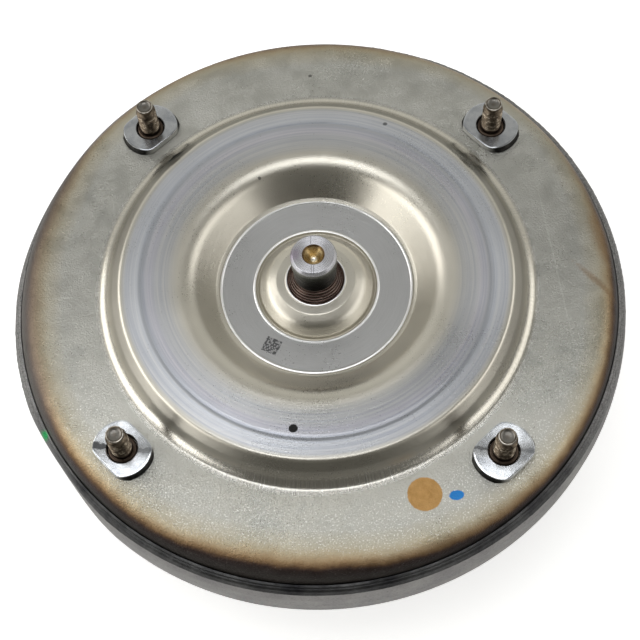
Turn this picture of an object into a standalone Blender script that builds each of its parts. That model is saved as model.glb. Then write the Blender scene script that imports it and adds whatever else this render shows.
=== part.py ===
"""Torque converter with its lock-up clutch, turned about +Z, nose up.

The shape is laid out from the flat ring of the front cover. Heights in the
profiles below are millimetres above that ring, and RING_Z is the height of the
ring above the end of the drive hub, where the part stands.
"""
import math

import bmesh
import bpy
from mathutils import Matrix, Vector

MM = 0.001
RING_Z = 108.0            # flat ring of the cover above the hub's end, mm
SHELL_STEPS = 32          # segments round the axis on the outer pieces
INNER_STEPS = 28          # segments on the pieces inside the shell
SMALL_STEPS = 20          # segments on the small round pieces

# Cover and fixings
STUD_CIRCLE = 125.0       # radius of the stud circle (pitch circle 250)
STUD_COUNT = 4
STUD_R = 5.0              # M10
STUD_TOP = 22.9
STUD_POINT_R = 4.1
COLLAR_R = 6.9
PAD_R = 14.2
PAD_FLAT = 11.25          # half of the distance across the pad's two flats
PAD_HOLE_R = 7.3
PAD_TOP = 3.8
NOSE_R = 10.3             # relieved part of the nose
NOSE_LAND_R = 11.3        # locating land round its tip
NOSE_TOP = 28.9
FLANGE_R = 148.6          # outside of the cover's skirt
SHELL_R = 154.9           # outside of the impeller shell
GAP = 0.3                 # running or fitting gap between neighbours

# Fluid circuit
TORUS_R = 100.0           # radius of the circuit's centre
TORUS_Z = -48.0
CORE_A, CORE_B = 24.0, 12.0
TURBINE_A, TURBINE_B = 48.0, 27.0
TURBINE_BLADES = 13
IMPELLER_BLADES = 12
STATOR_BLADES = 9

# Damper
SPRING_CIRCLE = 80.0
SPRING_COUNT = 6
SPRING_Z = -13.0
COIL_R = 6.0
WIRE_R = 1.4
COIL_TURNS = 5
COIL_HALF_ANGLE = 16.8    # degrees that a spring reaches each way
WINDOW_HALF_ANGLE = 18.6
WINDOW_R0, WINDOW_R1 = 71.6, 88.4
DAMPER_RIVETS = 3
DAMPER_RIVET_CIRCLE = 95.8
HUB_RIVETS = 4
HUB_RIVET_CIRCLE = 41.0
DRIVE_TABS = 6
TAB_CIRCLE = 103.2

# One-way clutch
ROLLERS = 6
ROLLER_R = 3.4
ROLLER_CIRCLE = 31.0
RACE_R = 27.0
CAM_R = 31.6
POCKET_R = 35.2
CLUTCH_TOP, CLUTCH_BOTTOM = -42.8, -56.2

# Drive hub
HUB_TUBE_R = 24.0
HUB_BORE_R = 20.0
HUB_END = -108.0
SPLINE_TEETH = 16


def clear_scene():
    for obj in list(bpy.data.objects):
        bpy.data.objects.remove(obj, do_unlink=True)
    for block in list(bpy.data.collections):
        bpy.data.collections.remove(block)


clear_scene()
PARTS = bpy.data.collections.new("torque_converter")
CUTTERS = bpy.data.collections.new("cutters")
bpy.context.scene.collection.children.link(PARTS)
bpy.context.scene.collection.children.link(CUTTERS)


def make_material(name, colour, roughness, metallic):
    mat = bpy.data.materials.new(name)
    mat.use_nodes = True
    shader = mat.node_tree.nodes["Principled BSDF"]
    shader.inputs["Base Color"].default_value = (*colour, 1.0)
    shader.inputs["Roughness"].default_value = roughness
    shader.inputs["Metallic"].default_value = metallic
    mat.diffuse_color = (*colour, 1.0)
    return mat


COVER_STEEL = make_material("cover_steel", (0.50, 0.50, 0.47), 0.42, 1.0)
SHELL_STEEL = make_material("shell_steel", (0.30, 0.29, 0.28), 0.45, 1.0)
WELD_STEEL = make_material("weld_steel", (0.06, 0.06, 0.07), 0.55, 0.8)
NOSE_STEEL = make_material("nose_steel", (0.62, 0.61, 0.64), 0.25, 1.0)
PAD_ZINC = make_material("pad_zinc", (0.72, 0.75, 0.78), 0.35, 1.0)
STUD_PHOSPHATE = make_material("stud_phosphate", (0.12, 0.10, 0.08), 0.55, 0.7)
PRESSED_STEEL = make_material("pressed_steel", (0.45, 0.45, 0.46), 0.38, 1.0)
HUB_STEEL = make_material("hub_steel", (0.55, 0.55, 0.56), 0.28, 1.0)
SPRING_STEEL = make_material("spring_steel", (0.16, 0.16, 0.17), 0.35, 1.0)
FRICTION_PAPER = make_material("friction_paper", (0.16, 0.11, 0.07), 0.9, 0.0)
SEAL_PLASTIC = make_material("seal_plastic", (0.10, 0.09, 0.08), 0.6, 0.0)
STATOR_ALLOY = make_material("stator_alloy", (0.66, 0.67, 0.69), 0.45, 1.0)
BEARING_STEEL = make_material("bearing_steel", (0.60, 0.60, 0.62), 0.18, 1.0)


def axis_empty(name, height):
    """Frame on the converter's axis that a moving group hangs from."""
    empty = bpy.data.objects.new(name, None)
    empty.location = (0.0, 0.0, (RING_Z + height) * MM)
    PARTS.objects.link(empty)
    return empty


def place(obj, material, parent=None):
    """Put an object in the part's collection with its material."""
    for coll in list(obj.users_collection):
        coll.objects.unlink(obj)
    PARTS.objects.link(obj)
    obj.data.materials.clear()
    obj.data.materials.append(material)
    if parent is not None:
        bpy.context.view_layer.update()
        obj.parent = parent
        obj.matrix_parent_inverse = parent.matrix_world.inverted()
    return obj


def bake(obj):
    """Replace an object's mesh by its evaluated mesh, smooth with sharp edges."""
    bpy.context.view_layer.update()
    graph = bpy.context.evaluated_depsgraph_get()
    mesh = bpy.data.meshes.new_from_object(obj.evaluated_get(graph))
    mesh.name = obj.name
    if obj.type == "CURVE":
        solid = bpy.data.objects.new(obj.name + "_mesh", mesh)
        solid.matrix_world = obj.matrix_world.copy()
        PARTS.objects.link(solid)
        name = obj.name
        bpy.data.objects.remove(obj, do_unlink=True)
        solid.name = name
        obj = solid
    else:
        obj.modifiers.clear()
        obj.data = mesh
    work = bmesh.new()
    work.from_mesh(obj.data)
    bmesh.ops.remove_doubles(work, verts=work.verts, dist=1e-6)
    bmesh.ops.recalc_face_normals(work, faces=work.faces)
    work.to_mesh(obj.data)
    work.free()
    obj.data.shade_smooth()
    obj.data.set_sharp_from_angle(angle=math.radians(35))
    return obj


def turned(name, profile, material, parent=None, steps=INNER_STEPS, closed=True):
    """Turn a profile of (radius, height) in mm about the axis.

    The profile starts at the top, runs down the outer side and, if it is closed,
    comes back up the inner side.
    """
    mesh = bpy.data.meshes.new(name)
    count = len(profile)
    edges = [(i, i + 1) for i in range(count - 1)]
    if closed:
        edges.append((count - 1, 0))
    mesh.from_pydata([(r * MM, 0.0, (RING_Z + z) * MM) for r, z in profile], edges, [])
    obj = bpy.data.objects.new(name, mesh)
    PARTS.objects.link(obj)
    screw = obj.modifiers.new("turn", "SCREW")
    screw.axis = "Z"
    screw.angle = 2.0 * math.pi
    screw.steps = screw.render_steps = steps
    screw.use_merge_vertices = True
    screw.merge_threshold = 0.00001
    screw.use_smooth_shade = True
    bake(obj)
    return place(obj, material, parent)


def ring(name, inner, outer, top, bottom, material, parent=None, steps=INNER_STEPS):
    """Plain flat ring."""
    profile = [(inner, top), (outer, top), (outer, bottom), (inner, bottom)]
    return turned(name, profile, material, parent, steps)


def flat_solid(name, outlines, bottom, top):
    """Extrude closed outlines (mm, in the XY plane) between two heights in mm."""
    curve = bpy.data.curves.new(name, "CURVE")
    curve.dimensions = "2D"
    curve.fill_mode = "BOTH"
    curve.extrude = (top - bottom) * 0.5 * MM
    for outline in outlines:
        spline = curve.splines.new("POLY")
        spline.points.add(len(outline) - 1)
        for point, (x, y) in zip(spline.points, outline):
            point.co = (x * MM, y * MM, 0.0, 1.0)
        spline.use_cyclic_u = True
    obj = bpy.data.objects.new(name, curve)
    obj.location.z = (RING_Z + (top + bottom) * 0.5) * MM
    PARTS.objects.link(obj)
    return bake(obj)


def circle_outline(radius, count, start=0.0):
    step = 2.0 * math.pi / count
    return [(radius * math.cos(start + i * step), radius * math.sin(start + i * step))
            for i in range(count)]


def spline_outline(teeth, minor, major):
    """Toothed bore: flanks between the two radii."""
    points = []
    for i in range(teeth):
        for part, radius in ((-0.32, minor), (-0.18, major), (0.18, major), (0.32, minor)):
            angle = 2.0 * math.pi * (i + part) / teeth
            points.append((radius * math.cos(angle), radius * math.sin(angle)))
    return points


def sector_outline(inner, outer, centre, half, count=3):
    """Outline of a curved window about an angle in degrees."""
    angles = [math.radians(centre - half + 2.0 * half * i / count) for i in range(count + 1)]
    points = [(outer * math.cos(a), outer * math.sin(a)) for a in angles]
    points += [(inner * math.cos(a), inner * math.sin(a)) for a in reversed(angles)]
    return points


def cylinder(name, radius, bottom, top, at=(0.0, 0.0), count=12):
    bpy.ops.mesh.primitive_cylinder_add(
        vertices=count, radius=radius * MM, depth=(top - bottom) * MM,
        location=(at[0] * MM, at[1] * MM, (RING_Z + (top + bottom) * 0.5) * MM))
    obj = bpy.context.active_object
    obj.name = name
    obj.data.name = name
    return obj


def box(name, size, at, turn=0.0):
    """Box of a size in mm whose centre is turned about the axis by degrees."""
    bpy.ops.mesh.primitive_cube_add(size=1.0)
    obj = bpy.context.active_object
    obj.name = name
    spin = Matrix.Rotation(math.radians(turn), 4, "Z")
    shift = Matrix.Translation(Vector((at[0], at[1], RING_Z + at[2])) * MM)
    scale = Matrix.Diagonal((size[0] * MM, size[1] * MM, size[2] * MM, 1.0))
    obj.data.transform(spin @ shift @ scale)
    return obj


def polar(radius, degrees):
    angle = math.radians(degrees)
    return radius * math.cos(angle), radius * math.sin(angle)


def merge_tools(objects, name):
    """Gather separate solids into one cutter or joining tool."""
    work = bmesh.new()
    for obj in objects:
        bpy.context.view_layer.update()
        mesh = obj.data.copy()
        mesh.transform(obj.matrix_world)
        work.from_mesh(mesh)
        bpy.data.meshes.remove(mesh)
    mesh = bpy.data.meshes.new(name)
    work.to_mesh(mesh)
    work.free()
    for obj in objects:
        bpy.data.objects.remove(obj, do_unlink=True)
    tool = bpy.data.objects.new(name, mesh)
    CUTTERS.objects.link(tool)
    tool.hide_render = True
    tool.display_type = "WIRE"
    return tool


def combine(obj, tools, operation):
    """Cut or join the tools with the object and keep the result as its mesh."""
    tool = merge_tools(tools, obj.name + "_tool")
    boolean = obj.modifiers.new("shape", "BOOLEAN")
    boolean.operation = operation
    boolean.solver = "EXACT"
    boolean.object = tool
    bake(obj)
    bpy.data.objects.remove(tool, do_unlink=True)
    return obj


# ---------------------------------------------------------------- housing
front_cover = turned("front_cover", [
    (14.6, 2.4), (15.2, 3.2), (19.6, 3.6), (22.0, 2.8), (29.4, -3.9), (30.6, -2.9),
    (47.3, -2.1), (49.0, -1.2), (54.5, 4.0), (60.0, 8.0), (66.6, 10.3), (92.6, 10.4),
    (94.6, 9.8), (102.5, 2.2), (105.0, 0.6), (108.2, 0.0), (137.0, 0.0), (142.2, -1.5),
    (146.2, -5.0),
    (148.3, -9.6), (FLANGE_R, -24.0), (144.4, -24.0), (144.2, -11.0), (141.6, -6.2),
    (137.0, -4.0), (108.0, -4.0), (104.6, -2.8), (92.6, 6.4), (68.0, 6.4), (58.5, 2.6),
    (50.2, -5.2), (47.0, -6.5), (29.0, -6.8), (23.8, -1.0), (14.6, -1.0)], COVER_STEEL,
    steps=SHELL_STEPS)

pilot_nose = turned("pilot_nose", [
    (0.0, 17.6), (2.9, 19.2), (2.9, 23.5), (5.2, NOSE_TOP), (10.1, NOSE_TOP),
    (NOSE_LAND_R, NOSE_TOP - 1.9), (NOSE_LAND_R, 20.4), (NOSE_R, 19.2), (NOSE_R, 10.6),
    (11.6, 5.6), (14.2, 1.9), (14.2, -4.6), (0.0, -4.6)], NOSE_STEEL, steps=SMALL_STEPS,
    closed=False)


def pad_outline(count=5):
    """Round pad with two flats across the radial direction, along local Y."""
    reach = math.degrees(math.acos(PAD_FLAT / PAD_R))
    points = []
    for side in (90.0, 270.0):
        for i in range(count + 1):
            points.append(polar(PAD_R, side - (90.0 - reach) + 2.0 * (90.0 - reach) * i / count))
    return points


for index in range(STUD_COUNT):
    angle = 45.0 + 360.0 / STUD_COUNT * index
    cx, cy = polar(STUD_CIRCLE, angle)
    pad = flat_solid("stud_pad_%d" % (index + 1),
                     [pad_outline(), circle_outline(PAD_HOLE_R, 12)], GAP, PAD_TOP)
    pad.location.x, pad.location.y = cx * MM, cy * MM
    pad.rotation_euler.z = math.radians(angle)
    place(pad, PAD_ZINC)
    stud = turned("stud_%d" % (index + 1), [
        (0.0, STUD_TOP), (3.5, STUD_TOP), (STUD_POINT_R, STUD_TOP - 0.6),
        (STUD_POINT_R, 20.6), (STUD_R, 19.4), (STUD_R, 4.6), (COLLAR_R, 3.3),
        (COLLAR_R, GAP), (0.0, GAP)], STUD_PHOSPHATE, steps=12, closed=False)
    stud.location.x, stud.location.y = cx * MM, cy * MM

turned("closing_weld", [(148.7, -9.3), (151.0, -10.3), (153.3, -12.7), (149.0, -12.7)],
       WELD_STEEL, steps=SHELL_STEPS)

SHELL_OUTER = [
    (153.3, -13.0), (SHELL_R, -27.0), (153.6, -42.0), (148.6, -57.0), (138.0, -70.0),
    (121.0, -78.0), (102.0, -80.0), (84.0, -78.2), (68.0, -72.6), (45.6, -71.2)]
SHELL_INNER = [
    (45.6, -67.2), (69.0, -68.7), (85.4, -74.3), (102.0, -76.0), (120.0, -74.0),
    (135.4, -66.8), (145.2, -54.9), (149.6, -40.6), (149.0, -25.0), (149.0, -13.0)]
turned("impeller_shell", SHELL_OUTER + SHELL_INNER, SHELL_STEEL, steps=SHELL_STEPS)

impeller_hub = turned("impeller_hub", [
    (HUB_BORE_R, -62.5), (37.0, -62.5), (45.2, -66.8), (45.2, -71.2), (40.6, -71.2),
    (31.0, -73.4), (25.6, -77.4), (HUB_TUBE_R, -82.0), (HUB_TUBE_R, -107.0),
    (23.2, HUB_END), (HUB_BORE_R, HUB_END)], HUB_STEEL, steps=24)
combine(impeller_hub, [box("slot", (60.0, 11.0, 20.0), (0.0, 0.0, HUB_END))], "DIFFERENCE")

turned("hub_weld", [(42.4, -71.5), (48.8, -71.5), (47.4, -73.4), (43.4, -73.4)],
       WELD_STEEL, steps=24)
ring("cover_thrust_race", 15.6, 23.2, -1.3, -2.4, BEARING_STEEL, steps=SMALL_STEPS)


# ---------------------------------------------------------------- bladed rings
def torus_point(a, b, degrees):
    angle = math.radians(degrees)
    return TORUS_R + a * math.cos(angle), TORUS_Z + b * math.sin(angle)


def blade(name, angle, stations, sweep):
    """Curved sheet-metal blade: an open strip that Solidify makes 1.2 mm thick."""
    work = bmesh.new()
    rows = []
    for index, (outer, inner) in enumerate(stations):
        share = index / (len(stations) - 1)
        turn = math.radians(angle + sweep(share))
        rows.append([work.verts.new((r * MM * math.cos(turn), r * MM * math.sin(turn),
                                     (RING_Z + z) * MM)) for r, z in (outer, inner)])
    for low, high in zip(rows[:-1], rows[1:]):
        work.faces.new((low[0], low[1], high[1], high[0]))
    mesh = bpy.data.meshes.new(name)
    work.to_mesh(mesh)
    work.free()
    obj = bpy.data.objects.new(name, mesh)
    PARTS.objects.link(obj)
    solid = obj.modifiers.new("thickness", "SOLIDIFY")
    solid.thickness = 1.2 * MM
    solid.offset = 0.0
    return bake(obj)


def bladed_ring(name, count, outer_line, core_line, core_profile, sweep, material, parent=None):
    """Core ring with its blades, joined into one piece."""
    core = turned(name, core_profile, material, parent)
    stations = list(zip(outer_line, core_line))
    blades = [blade("blade", 360.0 / count * i + 3.0, stations, sweep) for i in range(count)]
    return combine(core, blades, "UNION")


def core_ring_profile(upper):
    sign = 1.0 if upper else -1.0
    outer = [torus_point(CORE_A, CORE_B, sign * d) for d in (168, 116, 64, 12)]
    inner = [torus_point(CORE_A - 1.8, CORE_B - 1.8, sign * d) for d in (12, 64, 116, 168)]
    return outer + inner if upper else list(reversed(outer)) + list(reversed(inner))


impeller_outer = [torus_point(46.0, 26.0, d) for d in (-10.0, -52.0, -100.0)] + [(70.0, -67.4)]
impeller_core = [torus_point(CORE_A - 0.9, CORE_B - 0.9, d) for d in (-12.0, -64.0, -116.0, -160.0)]
bladed_ring("impeller_blades", IMPELLER_BLADES, impeller_outer, impeller_core,
            core_ring_profile(False), lambda s: -8.0 * s * s, PRESSED_STEEL)

# ---------------------------------------------------------------- turbine
turbine_axis = axis_empty("turbine_axis", -20.0)
SHELL_ANGLES = (116.0, 88.0, 60.0, 33.0, 8.0)
turbine_top = [torus_point(TURBINE_A, TURBINE_B, d) for d in SHELL_ANGLES]
turbine_under = [torus_point(TURBINE_A - 2.0, TURBINE_B - 2.0, d) for d in reversed(SHELL_ANGLES)]
turbine_shell = turned("turbine_shell", [(32.4, -27.1), (67.5, -27.1)] + turbine_top
                       + turbine_under + [(66.5, -29.1), (32.4, -29.1)], PRESSED_STEEL,
                       turbine_axis)

turbine_outer = [torus_point(44.0, 23.2, d) for d in (9.0, 54.0, 102.0, 150.0)]
turbine_core = [torus_point(CORE_A - 0.9, CORE_B - 0.9, d) for d in (12.0, 64.0, 116.0, 160.0)]
bladed_ring("turbine_blades", TURBINE_BLADES, turbine_outer, turbine_core,
            core_ring_profile(True), lambda s: 15.0 * (1.0 - (2.0 * s - 1.0) ** 2),
            PRESSED_STEEL, turbine_axis)

turbine_hub = turned("turbine_hub", [
    (11.8, -5.4), (23.4, -5.4), (23.4, -8.6), (31.0, -8.6), (31.0, -11.0), (29.0, -11.0),
    (29.0, -13.2), (31.0, -13.2), (31.0, -22.6), (46.4, -22.6), (46.4, -26.8),
    (32.0, -26.8), (32.0, -36.5), (11.8, -36.5)], HUB_STEEL, turbine_axis, steps=24)
hub_spline = flat_solid("hub_spline", [spline_outline(SPLINE_TEETH, 12.4, 13.8)], -38.0, -4.0)
combine(turbine_hub, [hub_spline], "DIFFERENCE")

driven_plate = turned("driven_plate", [
    (31.5, -19.3), (48.5, -19.3), (56.5, -11.5), (92.8, -11.5), (92.8, -14.5),
    (57.7, -14.5), (49.7, -22.3), (31.5, -22.3)], PRESSED_STEEL, turbine_axis)


def window_tools(bottom, top):
    """Cutters for the six spring windows."""
    return [flat_solid("window", [sector_outline(WINDOW_R0, WINDOW_R1, 360.0 / SPRING_COUNT * i,
                                                 WINDOW_HALF_ANGLE)], bottom, top)
            for i in range(SPRING_COUNT)]


def hole_tools(count, circle, start, radius, bottom, top):
    return [cylinder("hole", radius, bottom, top, polar(circle, start + 360.0 / count * i), 8)
            for i in range(count)]


HUB_RIVET_START = 45.0
combine(driven_plate, window_tools(-16.0, -10.0)
        + hole_tools(HUB_RIVETS, HUB_RIVET_CIRCLE, HUB_RIVET_START, 2.8, -24.0, -18.0),
        "DIFFERENCE")
for piece in (turbine_hub, turbine_shell):
    combine(piece, hole_tools(HUB_RIVETS, HUB_RIVET_CIRCLE, HUB_RIVET_START, 2.8, -31.0, -21.0),
            "DIFFERENCE")


def rivet(name, circle, angle, shank, head, spans, material, parent):
    """Rivet with a head at each end; spans are the four heights, top first."""
    top, under_top, over_bottom, bottom = spans
    obj = turned(name, [(0.0, top), (head, top), (head, under_top), (shank, under_top),
                        (shank, over_bottom), (head, over_bottom), (head, bottom),
                        (0.0, bottom)], material, steps=8, closed=False)
    obj.location.x, obj.location.y = polar(circle * MM, angle)
    return place(obj, material, parent)


for index in range(HUB_RIVETS):
    rivet("hub_rivet_%d" % (index + 1), HUB_RIVET_CIRCLE,
          HUB_RIVET_START + 360.0 / HUB_RIVETS * index, 2.4, 4.2,
          (-17.6, -19.0, -29.4, -30.8), HUB_STEEL, turbine_axis)

ring("piston_seal", 29.3, 31.1, -11.4, -12.8, SEAL_PLASTIC, turbine_axis)

# ---------------------------------------------------------------- damper
damper_axis = axis_empty("damper_axis", -13.0)
front_plate = ring("damper_front_plate", 60.5, 99.6, -8.5, -10.5, PRESSED_STEEL, damper_axis)
combine(front_plate, window_tools(-12.0, -7.0)
        + hole_tools(DAMPER_RIVETS, DAMPER_RIVET_CIRCLE, 30.0, 2.4, -12.0, -7.0), "DIFFERENCE")
rear_plate = ring("damper_rear_plate", 60.5, 107.0, -15.5, -17.5, PRESSED_STEEL, damper_axis)
notches = [box("notch", (14.0, 13.6, 4.0), (TAB_CIRCLE + 4.9, 0.0, -16.5), 360.0 / DRIVE_TABS * i)
           for i in range(DRIVE_TABS)]
combine(rear_plate, window_tools(-19.0, -14.0) + notches
        + hole_tools(DAMPER_RIVETS, DAMPER_RIVET_CIRCLE, 30.0, 2.4, -19.0, -14.0), "DIFFERENCE")

for index in range(DAMPER_RIVETS):
    rivet("damper_rivet_%d" % (index + 1), DAMPER_RIVET_CIRCLE,
          30.0 + 360.0 / DAMPER_RIVETS * index, 2.0, 3.2,
          (-6.9, -8.2, -17.8, -19.1), HUB_STEEL, damper_axis)


def arc_spring(name, centre_angle, parent):
    """Compression spring whose centre line follows the spring circle."""
    curve = bpy.data.curves.new(name, "CURVE")
    curve.dimensions = "3D"
    curve.bevel_depth = WIRE_R * MM
    curve.bevel_resolution = 0
    curve.use_fill_caps = True
    steps = 7 * COIL_TURNS
    spline = curve.splines.new("POLY")
    spline.points.add(steps)
    for index, point in enumerate(spline.points):
        share = index / steps
        swing = math.radians(centre_angle + COIL_HALF_ANGLE * (2.0 * share - 1.0))
        coil = 2.0 * math.pi * COIL_TURNS * share
        radius = SPRING_CIRCLE + COIL_R * math.cos(coil)
        height = RING_Z + SPRING_Z + COIL_R * math.sin(coil)
        point.co = (radius * MM * math.cos(swing), radius * MM * math.sin(swing), height * MM, 1.0)
    obj = bpy.data.objects.new(name, curve)
    PARTS.objects.link(obj)
    return place(bake(obj), SPRING_STEEL, parent)


for index in range(SPRING_COUNT):
    arc_spring("damper_spring_%d" % (index + 1), 360.0 / SPRING_COUNT * index, damper_axis)

# ---------------------------------------------------------------- lock-up piston
piston_axis = axis_empty("piston_axis", -8.4)
piston = turned("lockup_piston", [
    (31.5, -8.2), (53.0, -8.2), (64.5, 0.9), (70.0, 2.0), (90.0, 2.0), (93.6, 0.7),
    (102.6, -6.8), (139.0, -6.8), (139.0, -10.0), (105.6, -10.0), (91.6, -1.4),
    (71.0, -1.0), (67.0, -2.0), (54.2, -11.0), (34.5, -11.0), (34.5, -15.6), (31.5, -15.6)],
    PRESSED_STEEL, piston_axis)
tabs = [box("tab", (3.4, 12.0, 11.4), (TAB_CIRCLE, 0.0, -13.1), 360.0 / DRIVE_TABS * i)
        for i in range(DRIVE_TABS)]
combine(piston, tabs, "UNION")
ring("friction_lining", 110.0, 134.6, -5.05, -6.5, FRICTION_PAPER, piston_axis)

# ---------------------------------------------------------------- stator
stator_axis = axis_empty("stator_axis", -49.5)
race_axis = axis_empty("race_axis", -49.5)

stator_wheel = ring("stator_wheel", 46.7, 52.2, -42.8, -56.2, STATOR_ALLOY, stator_axis)
outer_band = ring("stator_band", 72.8, 75.4, -43.6, -55.4, STATOR_ALLOY)
AIRFOIL = [(-1.6, 6.4), (1.6, 6.6), (3.6, 3.4), (1.4, -3.0), (-3.6, -6.6), (-4.4, -6.2),
           (-1.6, -1.6)]


def stator_blade(angle):
    """Aerofoil of constant section, thick at the turbine side."""
    curve = bpy.data.curves.new("stator_blade", "CURVE")
    curve.dimensions = "2D"
    curve.fill_mode = "BOTH"
    curve.extrude = 11.4 * MM
    spline = curve.splines.new("POLY")
    spline.points.add(len(AIRFOIL) - 1)
    for point, (across, height) in zip(spline.points, AIRFOIL):
        point.co = (across * MM, height * MM, 0.0, 1.0)
    spline.use_cyclic_u = True
    obj = bpy.data.objects.new("stator_blade", curve)
    upright = Matrix(((0, 0, 1, 0), (1, 0, 0, 0), (0, 1, 0, 0), (0, 0, 0, 1)))
    shift = Matrix.Translation(Vector((62.6, 0.0, RING_Z - 49.5)) * MM)
    obj.matrix_world = Matrix.Rotation(math.radians(angle), 4, "Z") @ shift @ upright
    PARTS.objects.link(obj)
    return bake(obj)


stator_parts = [stator_blade(360.0 / STATOR_BLADES * i) for i in range(STATOR_BLADES)]
combine(stator_wheel, stator_parts, "UNION")
combine(stator_wheel, [outer_band], "UNION")

outer_race = ring("clutch_outer_race", CAM_R, 46.3, CLUTCH_TOP, CLUTCH_BOTTOM, BEARING_STEEL,
                  stator_axis)
pockets = [flat_solid("pocket", [sector_outline(24.0, POCKET_R, 360.0 / ROLLERS * i, 13.0, 3)],
                      CLUTCH_BOTTOM - 1.0, CLUTCH_TOP + 1.0) for i in range(ROLLERS)]
combine(outer_race, pockets, "DIFFERENCE")

for index in range(ROLLERS):
    angle = 360.0 / ROLLERS * index - 5.4
    roller = cylinder("clutch_roller_%d" % (index + 1), ROLLER_R, CLUTCH_BOTTOM + 0.4,
                      CLUTCH_TOP - 0.4, polar(ROLLER_CIRCLE, angle), 12)
    bake(roller)
    place(roller, BEARING_STEEL, stator_axis)


def leaf_spring(name, angle, parent):
    """Folded leaf that keeps a roller against its ramp."""
    work = bmesh.new()
    folds = [(28.0 + (1.2 if i % 2 else 6.0), 2.4 + 1.55 * i) for i in range(6)]
    low = [work.verts.new(((r * math.cos(math.radians(angle + d))) * MM,
                           (r * math.sin(math.radians(angle + d))) * MM,
                           (RING_Z - 53.0) * MM)) for r, d in folds]
    high = [work.verts.new(v.co + Vector((0.0, 0.0, 7.0 * MM))) for v in low]
    for i in range(len(low) - 1):
        work.faces.new((low[i], low[i + 1], high[i + 1], high[i]))
    mesh = bpy.data.meshes.new(name)
    work.to_mesh(mesh)
    work.free()
    obj = bpy.data.objects.new(name, mesh)
    PARTS.objects.link(obj)
    solid = obj.modifiers.new("thickness", "SOLIDIFY")
    solid.thickness = 0.35 * MM
    solid.offset = 0.0
    return place(bake(obj), SPRING_STEEL, parent)


for index in range(ROLLERS):
    leaf_spring("clutch_spring_%d" % (index + 1), 360.0 / ROLLERS * index, stator_axis)

ring("stator_front_plate", 19.5, 51.0, -40.5, -42.5, BEARING_STEEL, stator_axis)
ring("stator_rear_plate", 19.5, 51.0, -56.5, -58.5, BEARING_STEEL, stator_axis)

inner_race = flat_solid("stator_inner_race", [
    circle_outline(RACE_R, SMALL_STEPS), spline_outline(SPLINE_TEETH, 16.2, 17.6)],
    CLUTCH_BOTTOM, CLUTCH_TOP)
place(inner_race, BEARING_STEEL, race_axis)

# ---------------------------------------------------------------- needle bearings
bearing_axis = axis_empty("bearing_axis", -20.0)
ring("cover_thrust_bearing", 16.0, 23.0, -2.7, -5.1, BEARING_STEEL, bearing_axis, SMALL_STEPS)
ring("turbine_thrust_bearing", 21.0, 31.0, -36.8, -40.2, BEARING_STEEL, bearing_axis,
     SMALL_STEPS)
ring("impeller_thrust_bearing", 24.5, 36.0, -58.8, -62.2, BEARING_STEEL, bearing_axis,
     SMALL_STEPS)
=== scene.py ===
"""Looks of a welded torque converter, nose up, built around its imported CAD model.

Heights named in millimetres are above the flat ring of the front cover, and radii are
from the converter's axis.
"""

import math
from functools import reduce

import bmesh
import bpy
from mathutils import Matrix, Vector, noise


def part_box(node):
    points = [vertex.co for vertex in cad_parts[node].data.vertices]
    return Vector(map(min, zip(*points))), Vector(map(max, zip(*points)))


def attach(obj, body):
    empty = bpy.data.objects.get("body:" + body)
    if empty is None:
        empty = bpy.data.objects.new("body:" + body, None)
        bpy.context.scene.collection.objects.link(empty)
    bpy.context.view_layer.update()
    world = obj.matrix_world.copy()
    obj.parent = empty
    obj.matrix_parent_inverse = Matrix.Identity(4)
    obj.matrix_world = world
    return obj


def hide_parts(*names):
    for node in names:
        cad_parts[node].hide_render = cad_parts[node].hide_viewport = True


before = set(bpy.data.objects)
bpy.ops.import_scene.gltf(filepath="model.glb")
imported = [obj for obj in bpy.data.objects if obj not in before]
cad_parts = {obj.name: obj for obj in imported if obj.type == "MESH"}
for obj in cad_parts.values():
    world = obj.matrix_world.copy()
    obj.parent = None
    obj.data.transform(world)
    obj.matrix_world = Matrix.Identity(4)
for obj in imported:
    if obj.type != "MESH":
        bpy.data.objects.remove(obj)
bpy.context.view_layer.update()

MM = 0.001
TAU = 2.0 * math.pi


# ---------------------------------------------------------------- sizes from the frame
def box_centre(node):
    """Middle of a CAD node's box (m)."""
    low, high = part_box(node)
    return (low + high) * 0.5


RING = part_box("stud_pad_1")[0].z - 0.3 * MM         # height of the cover's flat ring (m)
NOSE_TOP = (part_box("pilot_nose")[1].z - RING) / MM
PAD_TOP = (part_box("stud_pad_1")[1].z - RING) / MM
STUD_TOP = (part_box("stud_1")[1].z - RING) / MM
COVER_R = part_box("front_cover")[1].x / MM
COVER_LOW = (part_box("front_cover")[0].z - RING) / MM
SHELL_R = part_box("impeller_shell")[1].x / MM
SHELL_LOW = (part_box("impeller_shell")[0].z - RING) / MM
HUB_R = 24.0
HUB_LOW = (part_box("impeller_hub")[0].z - RING) / MM
FOOT_TOP, FOOT_PITCH = 10.2, 1.62                   # the turned grooves at the nose's foot
WELD_ROOT = 148.75                                  # inner radius of the rim weld
ROUND = 256                                         # segments round the large pieces


# ---------------------------------------------------------------- mesh helpers
def new_object(name, verts, faces, material, body, node=None, sharp=32.0, place=None):
    """A smooth-shaded piece that rides on a body and may stand for a CAD node."""
    mesh = bpy.data.meshes.new(name)
    mesh.from_pydata([tuple(v) for v in verts], [], faces)
    mesh.validate()
    obj = bpy.data.objects.new(name, mesh)
    bpy.context.scene.collection.objects.link(obj)
    if place is not None:
        obj.matrix_world = place
    work = bmesh.new()
    work.from_mesh(mesh)
    bmesh.ops.recalc_face_normals(work, faces=work.faces)
    work.to_mesh(mesh)
    work.free()
    mesh.shade_smooth()
    mesh.set_sharp_from_angle(angle=math.radians(sharp))
    mesh.materials.append(material)
    if node:
        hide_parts(*([node] if isinstance(node, str) else node))
    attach(obj, body)
    return obj


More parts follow.
